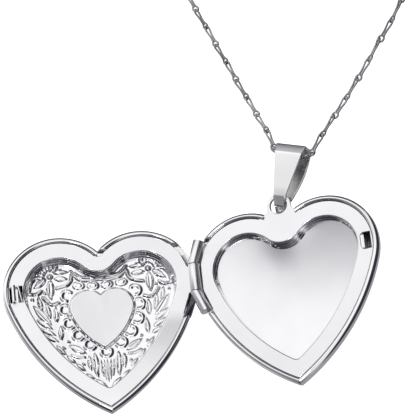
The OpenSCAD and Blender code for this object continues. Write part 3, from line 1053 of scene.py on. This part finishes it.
def make_bail(mats):
    """One strap folded round: through the tab's hole, up both sides, and over the chain."""
    path = bail_path()
    rings = []
    for (v, w), (dv, dw) in zip(path, direction(path, closed=True)):
        rings.append([(x, v + dw * t, w - dv * t) for x, t in strap_section(v, w)])
    verts, faces = loft(rings, loop=True)
    c, s = math.cos(-BAIL_TURN), math.sin(-BAIL_TURN)
    p = np.array(verts)
    placed = np.column_stack([
        p[:, 0] * c - p[:, 1] * s, p[:, 0] * s + p[:, 1] * c + LOBE_Y + LOBE_R, p[:, 2] + TAB_Z,
    ])
    piece = solid("bail_strap", placed, faces, mats["strap"], sharp=22)
    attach(piece, "hanger")
    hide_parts("bail")


# ---------------------------------------------------------------- chain

def coil_point(angle, radius, height):
    """A point round the coil's middle, in metres."""
    return (COIL_CENTRE[0] + radius * math.cos(angle), COIL_CENTRE[1] + radius * math.sin(angle),
            height)


def coil_route():
    """The stored turns, from the outside of the lowest layer up and back, then the way out."""
    rows = [(r, COIL_HEIGHTS[0]) for r in COIL_RADII]
    rows += [(r, COIL_HEIGHTS[1]) for r in COIL_RADII[::-1]]
    rows += [(r, COIL_HEIGHTS[2]) for r in COIL_RADII]
    # A turn is 48 steps, and the last 10 of them lead over to the next turn's place.
    steps = 48
    change = 10
    points = []
    for i, (r, z) in enumerate(rows):
        next_r, next_z = rows[min(i + 1, len(rows) - 1)]
        for k in range(steps):
            t = float(smoothstep((k - steps + change) / change))
            a = 2 * math.pi * k / steps
            points.append(coil_point(a, r + (next_r - r) * t, z + (next_z - z) * t))
    for degrees, radius, height in (
        (0, .00505, .00265), (20, .0052, .0029), (45, .0058, .0036), (70, .0066, .0037),
        (95, .0076, .0034), (112, .0086, .0022), (126, .0094, .001), (140, .01, .0005),
    ):
        points.append(coil_point(math.radians(degrees), radius, height))
    return points


def link_mesh():
    """One hairpin link along X: its eye, two twisted legs and the bend in the next link's eye."""
    wire = 0.16
    eye = [(0.55 + 0.5 * math.cos(a), 0.4 * math.sin(a), 0.0)
           for a in np.linspace(0, 2 * math.pi, 14, endpoint=False)]
    leg = [(0.95, 0.2, 0.0), (1.4, 0.17, 0.05), (2.0, 0.17, 0.08), (2.6, 0.23, 0.08),
           (3.1, 0.29, 0.14), (3.5, 0.28, 0.26), (3.8, 0.15, 0.24)]
    bend = leg + [(3.9, 0.0, 0.2)] + [(x, -y, z) for x, y, z in leg[::-1]]
    return join([wire_loop(eye, wire, closed=True), wire_loop(bend, wire, closed=False)])


def wire_loop(points, r, closed):
    """A round wire along points."""
    sides = 7
    points = np.array(points, float)
    angle = np.linspace(0, 2 * math.pi, sides, endpoint=False)
    rings = []
    for p, d in zip(points, direction(points, closed)):
        across = unit(np.cross(d, (0, 0, 1.0)))
        up = np.cross(across, d)
        rings.append(p + r * (np.outer(np.cos(angle), across) + np.outer(np.sin(angle), up)))
    return loft(rings, loop=closed)


def chain_links(name, route, material):
    """Hairpin links along a route in metres, each turned a little about the route."""
    verts, faces = link_mesh()
    link = np.array(verts) * MM
    dice = random.Random(SEED)
    s = distances(route)

    def at(distance):
        return np.array([np.interp(distance, s, route[:, k]) for k in range(3)])

    links = []
    count = round((s[-1] - FIRST_LINK) / LINK_PITCH)
    pitch = (s[-1] - FIRST_LINK) / count
    for number in range(count):
        here = FIRST_LINK + pitch * number
        a, b = at(here), at(here + pitch)
        along = unit(b - a)
        across = unit(np.cross((0, 0, 1.0), along))
        up = np.cross(along, across)
        # Links lean to either side in turn, each a little differently.
        roll = math.radians((18 if number % 2 else -22) + dice.uniform(-8, 8))
        side = across * math.cos(roll) + up * math.sin(roll)
        top = up * math.cos(roll) - across * math.sin(roll)
        placed = a + link @ np.array([along, side, top])
        links.append((placed / MM, faces))
    return solid(name, *join(links), material, sharp=60)


def dress(node, material):
    """Gives a CAD node that stays its finished material."""
    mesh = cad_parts[node].data
    mesh.materials.clear()
    mesh.materials.append(material)


def softened(node, rider, width, material):
    """A copy of a CAD node whose sharp edges are rounded off, as tumbling leaves them."""
    flat = math.radians(1)
    corner = math.radians(40)
    shading = math.radians(50)
    segments = 3
    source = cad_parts[node]
    mesh = bpy.data.meshes.new(node + "_soft")
    work = bmesh.new()
    work.from_mesh(source.data)
    bmesh.ops.remove_doubles(work, verts=work.verts, dist=WELD)
    bmesh.ops.dissolve_limit(work, angle_limit=flat, verts=work.verts, edges=work.edges)
    sharp = [e for e in work.edges if len(e.link_faces) == 2 and e.calc_face_angle() > corner]
    bmesh.ops.bevel(work, geom=sharp, offset=width, offset_type="OFFSET", segments=segments,
                    profile=0.5, affect="EDGES", clamp_overlap=True)
    for face in work.faces:
        face.smooth = len(face.verts) <= 5
    bmesh.ops.triangulate(work, faces=[f for f in work.faces if len(f.verts) > 4])
    work.to_mesh(mesh)
    work.free()
    mesh.set_sharp_from_angle(angle=shading)
    mesh.materials.clear()
    mesh.materials.append(material)
    piece = bpy.data.objects.new(node + "_soft", mesh)
    piece.matrix_world = source.matrix_world.copy()
    bpy.context.scene.collection.objects.link(piece)
    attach(piece, rider)
    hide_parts(node)
    return piece


def make_chain(mats):
    """Both strands as hairpin links along their routes, each of its own real length, and the clasp and
    its rings.
    """
    left = smooth_line(LEFT_ROUTE, steps=6)
    right = np.vstack([smooth_line(RIGHT_ROUTE, steps=6), smooth_line(coil_route()[1:], steps=2)])
    for node in ("jump_ring", "end_ring", "clasp_rivet"):
        dress(node, mats["polished"])
    body = softened("clasp_body", "hanger", 0.00012, mats["cast"])
    lever = softened("clasp_lever", "lever", 0.00008, mats["cast"])
    dress("clasp_spring", mats["spring"])
    strand = chain_links("chain_strand_left", left, mats["chain"])
    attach(strand, "hanger")
    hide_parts("chain_left")
    strand = chain_links("chain_strand_right", right, mats["chain"])
    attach(strand, "hanger")
    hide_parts("chain_right", "chain_coil")


# ---------------------------------------------------------------- the scene

make_camera()
materials = make_materials()
make_chain(materials)
make_back_half(materials)
make_front_half(materials)
make_hinge(materials)
make_latch(materials)
make_bail(materials)
dress("hinge_pin", materials["spring"])
make_world()
make_lights()
make_floor()
scene = bpy.context.scene
scene.view_settings.view_transform = "Standard"
